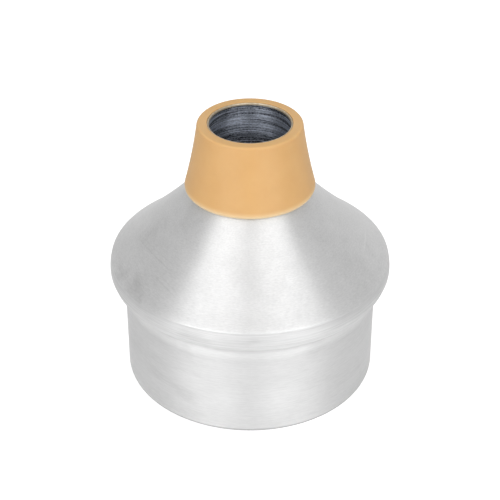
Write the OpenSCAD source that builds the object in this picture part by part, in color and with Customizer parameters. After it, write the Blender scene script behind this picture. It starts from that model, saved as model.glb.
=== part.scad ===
// Stem mute for a trumpet: a spun aluminium body made of two shells, with a
// foam collar round its neck and a corked socket for a stem in its end face.
// Z is the axis of the mute. It stands on the ring of its base, at Z = 0.

/* [Body] */
// Widest diameter, at the shoulder
body_d = 100; // [84:1:130]
// Thickness of the spun sheet
sheet_t = 0.8; // [0.5:0.1:1.2]
// Outside radius of the shoulder
shoulder_r = 1.5; // [1.3:0.1:3]
// Slope of the cone at the shoulder, in degrees from level
cone_foot_slope = 39.5; // [34:0.5:44]
// Slope of the cone where it turns into the neck, in degrees from level
cone_top_slope = 49; // [46:0.5:58]

/* [Neck] */
// Bore of the neck at its mouth
neck_bore_d = 27.9; // [24:0.1:31]
// Thickness of the rim, where spinning has thinned the sheet
rim_t = 0.5; // [0.3:0.1:0.8]
// Height of the straight side of the neck
neck_len = 20.9; // [16:0.1:34]
// Lean of the neck's side towards the axis, in degrees
neck_draft = 9.8; // [7:0.2:12]
// Radius between the cone and the neck
neck_fillet_r = 3; // [1.5:0.5:5]

/* [Seam] */
// Height of the rolled seam's lower edge above the floor
seam_h = 37.4; // [24:0.1:60]
// Height from the centre of the roll to the widest line
band_straight_h = 3.1; // [2:0.1:8]
// Lean of the band below the widest line, in degrees
band_taper = 5.5; // [2:0.5:8]
// Radius at which the cup's wall turns out into the seam
seam_bend_r = 1.2; // [0.8:0.1:2]
// How far the folded rim of the cup stops below the widest line
folded_rim_drop = 1; // [0.5:0.1:1.5]
// Thickness of the sealant in the seam
seal_t = 0.1; // [0.05:0.05:0.3]

/* [Base cup] */
// How far the cup's wall lies inside the widest line
cup_inset = 5; // [3:0.1:20]
// Outside radius of the bottom edge
cup_edge_r = 2; // [1.3:0.1:5]
// Width of the flat ring that the mute stands on
standing_ring_w = 5; // [3:0.5:12]
// Depth by which the end face is set in
end_recess = 2.5; // [2:0.1:8]
// Inside radius of the two bends between the ring and the end face
step_bend_r = 0.8; // [0.4:0.1:1]
// Slope of the wall between those bends, in degrees from level
step_slope = 60; // [45:5:80]

/* [Collar] */
// Outside diameter of the collar at its top
collar_top_d = 36.4; // [34:0.1:42]
// Outside diameter of the collar at its foot
collar_foot_d = 45.4; // [43:0.1:54]
// Hollow of the collar's side at its middle
collar_hollow = 0.35; // [0:0.05:1]
// Radius of the collar's top edge
collar_top_edge_r = 1.1; // [0.4:0.1:1.6]
// Radius of the collar's lower edge
collar_foot_edge_r = 1.2; // [0.4:0.1:2]
// Width of the flat inside that edge, which rests on the cone
collar_foot_w = 0.3; // [0.1:0.1:0.8]
// How far the collar stands above the metal rim
collar_proud = 0.15; // [0:0.05:1]
// Thickness of the adhesive between the neck and the collar
glue_t = 0.2; // [0.1:0.05:0.4]
// How far the adhesive stops short of the rim
glue_inset = 0.6; // [0.2:0.1:3]

/* [Stem socket] */
// Bore of the cork lining that grips the stem
stem_bore_d = 19; // [12:0.5:22]
// Thickness of the cork lining
cork_t = 1.5; // [1:0.1:2.5]
// Wall of the socket's sleeve
socket_wall = 0.8; // [0.6:0.1:1.5]
// Height of the sleeve above the underside of the end face
socket_h = 14; // [8:1:30]
// Thickness of the socket's flange
flange_t = 1; // [0.6:0.1:1.6]
// Width of the flange beyond the sleeve
flange_w = 4.5; // [2.5:0.5:6]
// Room round the stem where it passes the flange's lip
lip_room = 0.5; // [0.3:0.1:0.8]
// Height of the lip that the cork rests on
lip_h = 0.8; // [0.5:0.1:1.5]
// Bevel of the flange's lower edge
flange_edge = 0.3; // [0.1:0.1:0.5]
// Thickness of the ring that locks the socket from inside
lock_ring_t = 1.2; // [0.8:0.1:3]
// Width of that ring
lock_ring_w = 3.5; // [2:0.5:6]
// Gap round the sleeve in the end face and in the lock ring
socket_gap = 0.05; // [0.02:0.01:0.1]

/* [Hidden] */

// Fineness of the curves: a chord leaves its arc by no more than this
chord_error = 0.01;
// Sides that a round takes on the screen
round_fn = 128;
// Straight stretches that make up the collar's hollow side
side_steps = 12;
// A cut runs past the solid by this much
past = 1;

metal = "#c9cbce";
foam = "#deb06f";
cork = "#b98d5c";
adhesive = "#e7dfc8";

// A path is a list of [r, z, nr, nz]: a point on the outer face of a sheet,
// and the direction through the sheet to its inner face.
function steps(r, sweep) =
    max(1, ceil(abs(sweep) / (2 * acos(1 - chord_error / max(r, 0.1)))));

// Arc from one angle to the other. The inner face lies to the left of the way
// that the path runs. The first points may be left out, where a path has them.
function arc(centre, r, from, to, skip = 0) =
    let (n = steps(r, to - from), side = to > from ? -1 : 1)
    [for (i = [skip:n])
        let (a = from + (to - from) * i / n, way = [cos(a), sin(a)])
        concat(centre + r * way, side * way)];

function end_point(r, z, angle) = [r, z, cos(angle), sin(angle)];

function layer(path, depth) =
    [for (p = path) [p[0] + depth * p[2], p[1] + depth * p[3]]];

function flipped(list) = [for (i = [len(list) - 1:-1:0]) list[i]];

// Wall between two depths below the outer face
function wall(path, depth_a, depth_b) =
    concat(layer(path, depth_a), flipped(layer(path, depth_b)));

module turned(outline) {
    rotate_extrude($fn = round_fn) polygon(outline);
}

module tube(r_in, r_out, z_low, z_high) {
    translate([0, 0, z_low]) difference() {
        cylinder(r = r_out, h = z_high - z_low, $fn = round_fn);
        translate([0, 0, -past]) cylinder(r = r_in, h = z_high - z_low + 2 * past, $fn = round_fn);
    }
}

// Rolled band: the roll's centre lies on the line of the cup's wall
body_r = body_d / 2;
cup_d = body_d - 2 * cup_inset;
cup_r = cup_d / 2;
roll_r = (cup_inset - shoulder_r) * cos(band_taper) - band_straight_h * sin(band_taper) + shoulder_r;
fold_r = roll_r - sheet_t - seal_t;
roll_end = -acos(seam_bend_r / (seam_bend_r + fold_r));
roll_z = seam_h - roll_r * sin(roll_end);
roll_centre = [cup_r, roll_z];
widest_z = roll_z + band_straight_h;
roll_arc = arc(roll_centre, roll_r, roll_end, -band_taper);

// The cup's rim follows the inside of the band up to its own end
roll_top = roll_arc[len(roll_arc) - 1];
folded_rim_z = widest_z - folded_rim_drop;
band_run = (folded_rim_z - roll_top[1]) / cos(band_taper);
band_top = concat(
    [roll_top[0], roll_top[1]] + band_run * [sin(band_taper), cos(band_taper)],
    [roll_top[2], roll_top[3]]
);
band_path = concat(roll_arc, [band_top]);

// Cone: a shallow hollow arc from the shoulder to the fillet at the neck
shoulder_arc = arc([body_r - shoulder_r, widest_z], shoulder_r, -band_taper, 90 - cone_foot_slope);
cone_foot = shoulder_arc[len(shoulder_arc) - 1];
rim_r = neck_bore_d / 2 + rim_t;
neck_root_r = rim_r + neck_len * tan(neck_draft);
neck_slope = 90 - neck_draft;
cone_top_r = neck_root_r + neck_fillet_r * (sin(neck_slope) - sin(cone_top_slope));
cone_r = (cone_foot[0] - cone_top_r) / (sin(cone_top_slope) - sin(cone_foot_slope));
cone_centre = [cone_foot[0], cone_foot[1]] + cone_r * [sin(cone_foot_slope), cos(cone_foot_slope)];
cone_arc = arc(cone_centre, cone_r, 270 - cone_foot_slope, 270 - cone_top_slope, skip = 1);
cone_top = cone_arc[len(cone_arc) - 1];

// Neck: its sheet thins from the fillet up to the rim
fillet_centre = [cone_top[0], cone_top[1]] + neck_fillet_r * [sin(cone_top_slope), cos(cone_top_slope)];
fillet_arc = arc(fillet_centre, neck_fillet_r, 270 - cone_top_slope, 270 - neck_slope, skip = 1);
neck_root = fillet_arc[len(fillet_arc) - 1];
rim_z = neck_root[1] + neck_len;
neck_in = 180 + neck_draft;
up_neck = [-tan(neck_draft), 1];
shell_path = concat(roll_arc, shoulder_arc, cone_arc, fillet_arc);

// Collar: its foot lies on the cone, and its top just above the rim. The lean
// of its side is that of a line that touches the rounds of both its edges.
collar_top_z = rim_z + collar_proud;
foot_round_r = collar_foot_d / 2 - collar_foot_edge_r;
foot_reach = cone_centre[0] - (foot_round_r - collar_foot_w);
collar_z = cone_centre[1] - sqrt(pow(cone_r - glue_t, 2) - pow(foot_reach, 2));
foot_round = [foot_round_r, collar_z + collar_foot_edge_r];
top_round = [collar_top_d / 2 - collar_top_edge_r, collar_top_z - collar_top_edge_r];
side_span = top_round - foot_round;
collar_lean = atan(-side_span[0] / side_span[1])
    - asin((collar_top_edge_r - collar_foot_edge_r) / norm(side_span));
side_bend = atan(4 * collar_hollow / norm(side_span));

// End face and the socket in it
ring_out_r = cup_r - cup_edge_r;
ring_in_r = ring_out_r - standing_ring_w;
step_out_r = step_bend_r + sheet_t;
step_run = (end_recess - (step_bend_r + step_out_r) * (1 - cos(step_slope))) / sin(step_slope);
step_w = (step_bend_r + step_out_r) * sin(step_slope) + step_run * cos(step_slope);
stem_r = stem_bore_d / 2;
seat_r = stem_r + cork_t;
sleeve_r = seat_r + socket_wall;
end_hole_r = sleeve_r + socket_gap;
flange_r = sleeve_r + flange_w;
flange_z = end_recess - flange_t;
socket_top_z = end_recess + socket_h;
cork_z = flange_z + lip_h;

// Upper shell: band, shoulder, cone and neck, spun from one sheet
module upper_shell() {
    rim_out = [rim_r, rim_z];
    rim_in = [rim_r - rim_t, rim_z];
    outline = concat(layer(shell_path, 0), [rim_out, rim_in], flipped(layer(shell_path, sheet_t)));
    color(metal) turned(outline);
}

// Base cup: end face, standing ring, wall and the rim folded into the seam
module base_cup() {
    low_bend = [ring_in_r, step_out_r];
    high_bend = [ring_in_r - step_w, end_recess - step_bend_r];
    wall_bend_z = roll_z - sqrt(pow(seam_bend_r + fold_r, 2) - pow(seam_bend_r, 2));
    wall_bend = [cup_r + seam_bend_r, wall_bend_z];
    folded_rim = [for (p = band_path) concat(layer([p], sheet_t + seal_t)[0], [p[2], p[3]])];
    path = concat(
        [end_point(end_hole_r, end_recess, 90)],
        arc(high_bend, step_bend_r, 90, 90 - step_slope),
        arc(low_bend, step_out_r, 270 - step_slope, 270),
        arc([ring_out_r, cup_edge_r], cup_edge_r, -90, 0),
        arc(wall_bend, seam_bend_r, 180, 180 + roll_end),
        [for (i = [1:len(folded_rim) - 1]) folded_rim[i]]
    );
    color(metal) turned(wall(path, 0, sheet_t));
}

// Seam seal: the film of sealant between the roll and the folded rim
module seam_seal() {
    color(adhesive) turned(wall(band_path, sheet_t, sheet_t + seal_t));
}

// Bell collar: the foam cone that holds the mute in the bell of the trumpet
module bell_collar() {
    foot_arc = layer(arc(foot_round, collar_foot_edge_r, -90, collar_lean + side_bend), 0);
    top_arc = layer(arc(top_round, collar_top_edge_r, collar_lean - side_bend, 90), 0);
    low = foot_arc[len(foot_arc) - 1];
    high = top_arc[0];
    inward = -[cos(collar_lean), sin(collar_lean)];
    side = [for (i = [1:side_steps - 1])
        let (t = i / side_steps)
        low + (high - low) * t + inward * collar_hollow * 4 * t * (1 - t)];
    blank = concat([[0, collar_z]], foot_arc, side, top_arc, [[0, collar_top_z]]);
    neck_end = [rim_r, rim_z] + (collar_proud + past) * up_neck;
    neck_path = concat([cone_foot], cone_arc, fillet_arc, [end_point(neck_end[0], neck_end[1], neck_in)]);
    core = concat([[0, cone_foot[1]]], layer(neck_path, -glue_t), [[0, neck_end[1]]]);
    color(foam) difference() {
        turned(blank);
        turned(core);
    }
}

// Collar glue: the film that bonds the collar to the neck
module collar_glue() {
    stop = [rim_r, rim_z] - glue_inset * up_neck;
    path = concat([cone_top], fillet_arc, [end_point(stop[0], stop[1], neck_in)]);
    color(adhesive) turned(wall(path, -glue_t, 0));
}

// Stem socket: flanged sleeve through the end face, with a lip for its cork
module stem_socket() {
    lip_r = stem_r + lip_room;
    color(metal) turned([
        [lip_r, flange_z],
        [flange_r - flange_edge, flange_z],
        [flange_r, flange_z + flange_edge],
        [flange_r, end_recess],
        [sleeve_r, end_recess],
        [sleeve_r, socket_top_z],
        [seat_r, socket_top_z],
        [seat_r, cork_z],
        [lip_r, cork_z]
    ]);
}

// Socket lock ring: pressed on the sleeve against the inside of the end face
module socket_lock_ring() {
    floor_z = end_recess + sheet_t;
    color(metal) tube(sleeve_r + socket_gap, sleeve_r + lock_ring_w, floor_z, floor_z + lock_ring_t);
}

// Socket cork: the lining that grips the stem
module socket_cork() {
    color(cork) tube(stem_r, seat_r, cork_z, socket_top_z);
}

upper_shell();
base_cup();
seam_seal();
bell_collar();
collar_glue();
stem_socket();
socket_lock_ring();
socket_cork();
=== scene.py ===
# %% [markdown]
# # A stem mute for a trumpet
#
# The mute is two spun aluminium shells that are rolled together, with a foam
# collar round its open neck. It is round about one axis, so almost every piece
# here starts as a flat outline and is turned round that axis, as on the lathe
# that made the real one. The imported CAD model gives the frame. This script
# builds the finer surfaces and finishes on top of it, in the same place.

# %% Load the frame
import math
import bpy
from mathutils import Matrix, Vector


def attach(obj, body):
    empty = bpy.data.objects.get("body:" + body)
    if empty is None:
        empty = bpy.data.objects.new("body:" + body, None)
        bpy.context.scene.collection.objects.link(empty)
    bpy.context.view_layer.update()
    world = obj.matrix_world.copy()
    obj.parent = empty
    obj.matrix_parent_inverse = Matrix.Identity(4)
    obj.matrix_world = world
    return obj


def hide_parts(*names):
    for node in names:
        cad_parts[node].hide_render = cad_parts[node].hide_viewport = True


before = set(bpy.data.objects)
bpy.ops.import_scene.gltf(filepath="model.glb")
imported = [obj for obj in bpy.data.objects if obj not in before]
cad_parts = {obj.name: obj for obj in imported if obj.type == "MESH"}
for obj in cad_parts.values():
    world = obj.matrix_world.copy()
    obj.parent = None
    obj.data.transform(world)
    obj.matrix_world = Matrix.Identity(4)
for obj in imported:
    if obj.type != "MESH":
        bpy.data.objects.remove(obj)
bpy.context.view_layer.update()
scene = bpy.context.scene
print("nodes:", sorted(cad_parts))

# %% [markdown]
# ## A path along a sheet
#
# A spun sheet has two faces that run side by side. Each point of a path here
# is (r, z, nr, nz): a place on the outer face, and the direction through the
# sheet. Going that way by the sheet's thickness gives the inner face, so both
# faces stay parallel round every bend. Scaling the outline would not do that.

# %% Arcs, and the faces of a sheet
ARC_STEP = 4.0
POINT_GAP = 1.0


def polar(angle):
    """The direction (r, z) at an angle in degrees from level."""
    return math.cos(math.radians(angle)), math.sin(math.radians(angle))


def arc(centre, radius, start, end, skip=0):
    """Path along an arc. The inner face lies to the left of the way it runs."""
    sweep = abs(end - start)
    count = max(2, math.ceil(sweep / ARC_STEP), math.ceil(radius * math.radians(sweep) / POINT_GAP))
    side = -1 if end > start else 1
    points = []
    for i in range(skip, count + 1):
        r, z = polar(start + (end - start) * i / count)
        points.append((centre[0] + radius * r, centre[1] + radius * z, side * r, side * z))
    return points


def layer(path, depth):
    """The face that lies this deep below the outer face of a path."""
    return [(p[0] + depth * p[2], p[1] + depth * p[3]) for p in path]


def along(start, direction, length):
    """The place that lies a length away in a direction."""
    return start[0] + direction[0] * length, start[1] + direction[1] * length


print("a quarter round of 2 mm takes", len(arc((0.0, 0.0), 2.0, 0, 90)), "points")

# %% [markdown]
# ## Sizes of the body
#
# Sizes are in millimetres, as a spinner would read them off a drawing, and
# angles in degrees. They repeat the driving sizes of the CAD source, so that
# each turned piece lies exactly on its solid. Every piece has its sizes where
# it is made. These are the ones of the two shells and the seam between them.

# %% Driving sizes of the body
BODY_D = 100.0
CUP_INSET = 5.0
SHEET_T = 0.8
SHOULDER_R = 1.5
CONE_FOOT_SLOPE = 39.5
CONE_TOP_SLOPE = 49.0
NECK_BORE_D = 27.9
RIM_T = 0.5
NECK_LEN = 20.9
NECK_DRAFT = 9.8
NECK_FILLET_R = 3.0
SEAM_H = 37.4
BAND_STRAIGHT_H = 3.1
BAND_TAPER = 5.5
SEAM_BEND_R = 1.2
SEAL_T = 0.1
body_r = BODY_D / 2
cup_r = body_r - CUP_INSET
print("body radius", body_r, "mm, cup radius", cup_r, "mm, sheet", SHEET_T, "mm")

# %% [markdown]
# ## Working out the band
#
# The band at the widest line is rolled inward over the rim of the cup. Its
# roll has to end against the cup's wall, and its side has to meet the round
# of the shoulder, so the radius of the roll follows from the other sizes.

# %% Places of the band's arcs
taper_cos, taper_sin = polar(BAND_TAPER)
roll_r = (CUP_INSET - SHOULDER_R) * taper_cos - BAND_STRAIGHT_H * taper_sin + SHOULDER_R
fold_r = roll_r - SHEET_T - SEAL_T
roll_end = -math.degrees(math.acos(SEAM_BEND_R / (SEAM_BEND_R + fold_r)))
roll_z = SEAM_H - roll_r * polar(roll_end)[1]
widest_z = roll_z + BAND_STRAIGHT_H
roll_arc = arc((cup_r, roll_z), roll_r, roll_end, -BAND_TAPER)
roll_top = roll_arc[-1]
shoulder_arc = arc((body_r - SHOULDER_R, widest_z), SHOULDER_R, -BAND_TAPER, 90 - CONE_FOOT_SLOPE)
cone_foot = shoulder_arc[-1]
print("roll radius", round(roll_r, 3), "widest line at", round(widest_z, 2))

# %% [markdown]
# ## Working out the cone and the neck
#
# The cone is a little hollow: it gets steeper towards the neck. So it is one
# very long arc, and a small fillet leads out of it into the neck. The arc's
# radius follows from its slopes at both ends and from what it has to join.

# %% Places of the cone's and the neck's arcs
rim_r = NECK_BORE_D / 2 + RIM_T
neck_tan = math.tan(math.radians(NECK_DRAFT))
neck_root_r = rim_r + NECK_LEN * neck_tan
neck_slope = 90 - NECK_DRAFT
foot_sin, top_sin = polar(CONE_FOOT_SLOPE)[1], polar(CONE_TOP_SLOPE)[1]
cone_top_r = neck_root_r + NECK_FILLET_R * (polar(neck_slope)[1] - top_sin)
cone_r = (cone_foot[0] - cone_top_r) / (top_sin - foot_sin)
cone_centre = along(cone_foot, (foot_sin, polar(CONE_FOOT_SLOPE)[0]), cone_r)
cone_arc = arc(cone_centre, cone_r, 270 - CONE_FOOT_SLOPE, 270 - CONE_TOP_SLOPE, 1)
cone_top = cone_arc[-1]
fillet_centre = along(cone_top, (top_sin, polar(CONE_TOP_SLOPE)[0]), NECK_FILLET_R)
fillet_arc = arc(fillet_centre, NECK_FILLET_R, 270 - CONE_TOP_SLOPE, 270 - neck_slope, 1)
rim_z = fillet_arc[-1][1] + NECK_LEN
print("cone radius", round(cone_r, 1), "rim at", round(rim_z, 2))

# %% [markdown]
# ## Turning an outline
#
# A lathe part is one outline swept round the axis. Blender could do it with
# the Screw modifier, but writing the rings ourselves keeps every ring of faces
# in a known order. That lets one mesh carry several finishes, such as the
# satin outside and the bare inside of the shell.
#
# Long straight runs get points in between. Without them the smooth shading
# would blend a corner's normals over the whole run and bend its highlights.

# %% Points and rings of faces
AROUND = 256


def with_points(outline, gap):
    """The same closed outline, with no stretch longer than the gap."""
    fine = []
    for a, b in zip(outline, outline[1:] + outline[:1]):
        count = max(1, math.ceil(math.dist(a, b) / gap))
        for i in range(count):
            fine.append((a[0] + (b[0] - a[0]) * i / count, a[1] + (b[1] - a[1]) * i / count))
    return fine


def ring_faces(count):
    """Faces between each outline and the next one round the axis, as a list of corners."""
    faces = []
    for k in range(AROUND):
        here, there = k * count, (k + 1) % AROUND * count
        for i in range(count):
            j = (i + 1) % count
            faces.append((here + i, there + i, there + j, here + j))
    return faces


print("a step round the widest line is", round(2 * math.pi * body_r / AROUND, 2), "mm")

# %% [markdown]
# ## From outline to piece
#
# The rounds of the CAD solids are made of short flats. To stay inside their
# box, the copies of the outline stand half a step off the x and y axes, and
# are drawn a hair nearer to the axis. Edges sharper than 32 degrees stay
# sharp, and all others are shaded smooth. Every turned piece rides on the
# mute's one body and stands for one CAD node.

# %% Turn an outline into a piece
MM = 0.001
HAIR = 0.9996
SHARP_ANGLE = math.radians(32)


def turn(name, node, outline, materials, zone=None):
    """Turns a closed outline into a piece that stands for a CAD node.

    The outline is in mm and runs against the clock. zone tells which of the
    materials the ring of faces after each of its points gets.
    """
    count = len(outline)
    corners = []
    for k in range(AROUND):
        c, s = polar(360 * (k + 0.5) / AROUND)
        corners += [(r * c * MM * HAIR, r * s * MM * HAIR, z * MM) for r, z in outline]
    mesh = bpy.data.meshes.new(name)
    mesh.from_pydata(corners, [], ring_faces(count))
    for material in materials:
        mesh.materials.append(material)
    if zone:
        zones = [zone(i) for i in range(count)]
        mesh.polygons.foreach_set("material_index", zones * AROUND)
    mesh.shade_smooth()
    mesh.set_sharp_from_angle(angle=SHARP_ANGLE)
    piece = bpy.data.objects.new(name, mesh)
    scene.collection.objects.link(piece)
    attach(piece, "root")
    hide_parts(node)
    print(name, "has", len(mesh.polygons), "faces")
    return piece


print("a piece is drawn", round((1 - HAIR) * body_r, 3), "mm smaller at the widest line")

# %% [markdown]
# ## Colours and nodes
#
# Colours are written as the hex values that a colour picker shows. Blender
# mixes light in linear values, so one function turns them. One small function
# adds a node, sets it up and links it, which keeps each material a short list.

# %% Colour and node helpers
def linear(hex_colour):
    """The linear colour of an sRGB hex value such as #deb06f."""
    parts = [int(hex_colour[i:i + 2], 16) / 255 for i in (1, 3, 5)]
    return tuple(
        v / 12.92 if v <= 0.04045 else ((v + 0.055) / 1.055) ** 2.4 for v in parts
    ) + (1.0,)


def add(tree, kind, inputs=None, **settings):
    """Adds a node with its settings. Each input gets a value, or a link from a socket.

    A node in the place of a value stands for its first output that is in use.
    """
    made = tree.nodes.new("ShaderNode" + kind)
    for key, value in settings.items():
        setattr(made, key, value)
    for key, value in (inputs or {}).items():
        if isinstance(value, bpy.types.Node):
            value = next(output for output in value.outputs if output.enabled)
        if isinstance(value, bpy.types.NodeSocket):
            tree.links.new(value, made.inputs[key])
        else:
            made.inputs[key].default_value = value
    return made


def new_material(name):
    """An empty node material, and its tree."""
    material = bpy.data.materials.new(name)
    material.use_nodes = True
    material.node_tree.nodes.clear()
    print("material", name)
    return material, material.node_tree


print("#808080 is", round(linear("#808080")[0], 3), "in linear light")

# %% [markdown]
# ## Places on a turned piece
#
# Whatever a lathe leaves on a piece runs round its axis. Noise in plain x, y
# and z would make blobs. So the finishes use other places: the direction round
# the axis, as a cosine and a sine, and a measure along the profile. Noise that
# is stretched little in the first and much in the last turns into rings. The
# measure is the height less a share of the radius, because that grows steadily
# all the way up the cup, round the shoulder and up the cone.

# %% Ring-wise places and noise
RADIUS_SHARE = -0.8


def lathe_places(tree):
    """Three kinds of place for a turned piece's patterns: plain, ring-wise, and height alone."""
    place = add(tree, "TexCoord").outputs["Object"]
    split = add(tree, "SeparateXYZ", {"Vector": place})
    flat = add(tree, "CombineXYZ", {"X": split.outputs["X"], "Y": split.outputs["Y"]})
    unit = add(tree, "VectorMath", {0: flat}, operation="NORMALIZE")
    radius = add(tree, "VectorMath", {0: flat}, operation="LENGTH")
    height = split.outputs["Z"]
    profile = add(tree, "Math", {0: radius, 1: RADIUS_SHARE, 2: height}, operation="MULTIPLY_ADD")
    turned = add(tree, "SeparateXYZ", {"Vector": unit})
    rings = add(tree, "CombineXYZ", {
        "X": turned.outputs["X"], "Y": turned.outputs["Y"], "Z": profile,
    })
    return place, rings, height


def ring_noise(tree, rings, turns, width_mm, detail, roughness):
    """Noise drawn out along the rings: about radius / turns long, and width_mm wide."""
    stretch = (turns, turns, 1 / (width_mm * MM))
    scaled = add(tree, "VectorMath", {0: rings, 1: stretch}, operation="MULTIPLY")
    return add(tree, "TexNoise", {
        "Vector": scaled, "Scale": 1.0, "Detail": detail, "Roughness": roughness,
    })


def weighed(tree, noises):
    """Adds up noises with their weights, each counted from its middle."""
    total = -0.5 * sum(weight for _, weight in noises)
    for noise, weight in noises:
        total = add(tree, "Math", {0: noise, 1: weight, 2: total}, operation="MULTIPLY_ADD")
    return total


def streaks(radius, marks):
    """Says how long and how wide marks come out at a radius in mm."""
    return ", ".join(f"{radius / turns:.1f} x {width} mm" for turns, width, _ in marks)


print("8 turns at a radius of 40 mm:", streaks(40.0, [(8.0, 0.35, 1.0)]))

# %% [markdown]
# ## The tone of a worn surface
#
# Making and handling leave marks of their own on the rubbed sheet: bands round
# it where the tool pressed harder, spots that hands have dulled, and a few long
# scratches. Most of the bands, and a few pale spots, are painted light and
# shade instead: paler where a lamp's highlight falls, darker in the seam, at
# the foot and deep in the bore. They could be painted on an image, but then
# they would be as coarse as its pixels. Here each adds to one number, the
# tone. The finish takes both its colour and its gloss from that number,
# because metal that is rubbed another way changes in both at once.
#
# A band grows from none at one height to its full weight at another. A spot
# fades with the distance from its middle, and the smudges of the surface push
# its edge in and out, so that it doesn't look like a disc.

# %% Bands and spots
SPOT_WANDER = 20.0
SPOT_CORE = 8.0


def with_bands(tree, tone, height, bands):
    """bands: (height where it starts, height where it is full, weight) each, heights in mm."""
    for start, full, weight in bands:
        share = add(tree, "MapRange", {
            "Value": height, "From Min": start * MM, "From Max": full * MM,
        })
        tone = add(tree, "Math", {0: share, 1: weight, 2: tone}, operation="MULTIPLY_ADD")
    return tone


def with_spots(tree, tone, place, smudges, spots):
    """spots: (middle, reach, weight) each, in mm. The smudges make their edges uneven."""
    for (x, y, z), reach, weight in spots:
        middle = (x * MM, y * MM, z * MM)
        away = add(tree, "VectorMath", {0: place, 1: middle}, operation="DISTANCE")
        uneven = add(tree, "Math", {
            0: smudges, 1: SPOT_WANDER * MM, 2: away,
        }, operation="MULTIPLY_ADD")
        share = add(tree, "MapRange", {
            "Value": uneven, "From Min": (SPOT_WANDER / 2 + reach) * MM, "From Max": SPOT_CORE * MM,
        })
        tone = add(tree, "Math", {0: share, 1: weight, 2: tone}, operation="MULTIPLY_ADD")
    return tone


print("the smudges move a spot's edge by up to", SPOT_WANDER / 2, "mm either way")

# %% [markdown]
# ## Scratches
#
# A scratch is straight. A plane square to the cone cuts the surface along such
# a line, so a point's distance from that plane says whether it lies on the
# scratch. The distance from its middle then lets it fade out before its ends.
# A real one is about 0.1 mm wide, too fine to show from half a metre away, so
# it is drawn 0.35 mm wide.

# %% Scratches on the cone
SCRATCH_W = 0.35
FADE_FROM, FADE_TO = 0.35, 0.55   # shares of a scratch's length, counted from its middle


def with_scratches(tree, tone, place, scratches):
    """scratches: (one end, other end, weight) each, in mm."""
    for start, end, weight in scratches:
        centre, run = (Vector(start) + Vector(end)) / 2, Vector(end) - Vector(start)
        off_cone = Vector((centre.x, centre.y, centre.xy.length))   # square to a cone of 45 degrees
        across = run.cross(off_cone).normalized()
        side = add(tree, "VectorMath", {0: place, 1: tuple(across)}, operation="DOT_PRODUCT")
        off = add(tree, "Math", {0: side, 1: across.dot(centre) * MM}, operation="SUBTRACT")
        off = add(tree, "Math", {0: off}, operation="ABSOLUTE")
        away = add(tree, "VectorMath", {0: place, 1: tuple(centre * MM)}, operation="DISTANCE")
        cut = add(tree, "MapRange", {
            "Value": off, "From Max": SCRATCH_W * MM, "To Min": weight, "To Max": 0.0,
        })
        length = run.length * MM
        fade = add(tree, "MapRange", {
            "Value": away, "From Min": FADE_FROM * length, "From Max": FADE_TO * length,
            "To Min": 1.0, "To Max": 0.0,
        })
        tone = add(tree, "Math", {0: cut, 1: fade, 2: tone}, operation="MULTIPLY_ADD")
    return tone


print("scratches are drawn", SCRATCH_W, "mm wide")

# %% [markdown]
# ## Spun aluminium
#
# The shell and the cup are soft aluminium sheet, spun over a wooden form and
# then rubbed down with a fine abrasive pad while they still turn. That leaves
# thousands of fine rings. A ring-shaped scratch throws light up and down, but
# hardly sideways, so a lamp shows as a bright band from the collar down to the
# base. Real grooves would need millions of faces, so noise draws the marks.
#
# The pad's scratches are about 0.05 mm apart, far too fine for a picture of
# the whole mute. They are drawn 0.35 mm wide or more, as broken streaks.
# Handling adds smudges, where the skin's oil dulls the metal. They are 5 to 8
# mm across, and on the band and the cup they are drawn out along the rings.

# %% Marks and smudges
MARK_DETAIL, MARK_ROUGHNESS = 2.0, 0.55
SMUDGE_DETAIL, SMUDGE_ROUGHNESS = 4.0, 0.6
SMUDGE_SWIRL = 0.6


def rubbed(tree, rings, marks):
    """The fine marks of the pad. marks: (turns, width in mm, weight) each."""
    return weighed(tree, [
        (ring_noise(tree, rings, turns, width, MARK_DETAIL, MARK_ROUGHNESS), weight)
        for turns, width, weight in marks
    ])


def smudged(tree, place, rings, size, turns):
    """The smudges of handling, size in mm. They are round with 0 turns, else drawn out."""
    if turns:
        return ring_noise(tree, rings, turns, size, SMUDGE_DETAIL, SMUDGE_ROUGHNESS)
    return add(tree, "TexNoise", {
        "Vector": place, "Scale": 1 / (size * MM), "Detail": SMUDGE_DETAIL,
        "Roughness": SMUDGE_ROUGHNESS, "Distortion": SMUDGE_SWIRL,
    })


print("a smudge of 5 mm with 2 turns:", streaks(body_r, [(2.0, 5.0, 1.0)]))

# %% [markdown]
# ## From marks to metal
#
# In the shader the rings are anisotropy: the tangent runs round the axis, and a
# quarter turn of it lays the blur across the rings. Clean aluminium gives back
# about 90 percent of the light. Rubbed and handled sheet gives back less, here
# 58 to 79 percent, and it is rough, 0.44 to 0.66. The tone mixes between a dark
# and a pale colour, and between two values of roughness. Only the pad's fine
# marks go into the bump, because smudges have no height. A metal keeps the
# shader's own IOR.

# %% Spun and rubbed sheet
ACROSS_RINGS = 0.25


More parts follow.
